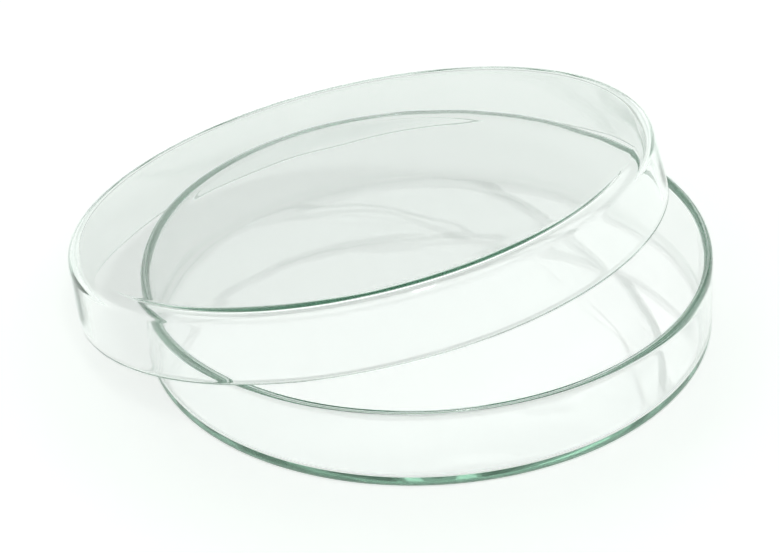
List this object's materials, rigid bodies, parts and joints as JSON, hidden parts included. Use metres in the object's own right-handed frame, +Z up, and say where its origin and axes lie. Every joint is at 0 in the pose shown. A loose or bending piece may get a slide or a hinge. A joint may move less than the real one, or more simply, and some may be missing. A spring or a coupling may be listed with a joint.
{
  "type": "petri dish",
  "caption": "Round shallow glass dish with a wider, loose glass lid that leans on its rim.",
  "frame": {"origin": "centre of the base dish's underside", "axes": "+Z up along the base dish's axis; the lid leans down towards -X, so XZ is the plane of symmetry"},
  "size_m": [0.1099, 0.1006, 0.0336],
  "materials": {
    "glass": "polished clear glass with a faint green tint and fire-polished rims"
  },
  "bodies": {
    "base": {"base_dish": "glass"},
    "lid": {"lid": "glass"}
  },
  "joints": [
    {"name": "lid_lift", "type": "slide", "parent": "base", "child": "lid", "axis": [0, 0, 1], "range_m": [0, 0.06]}
  ]
}
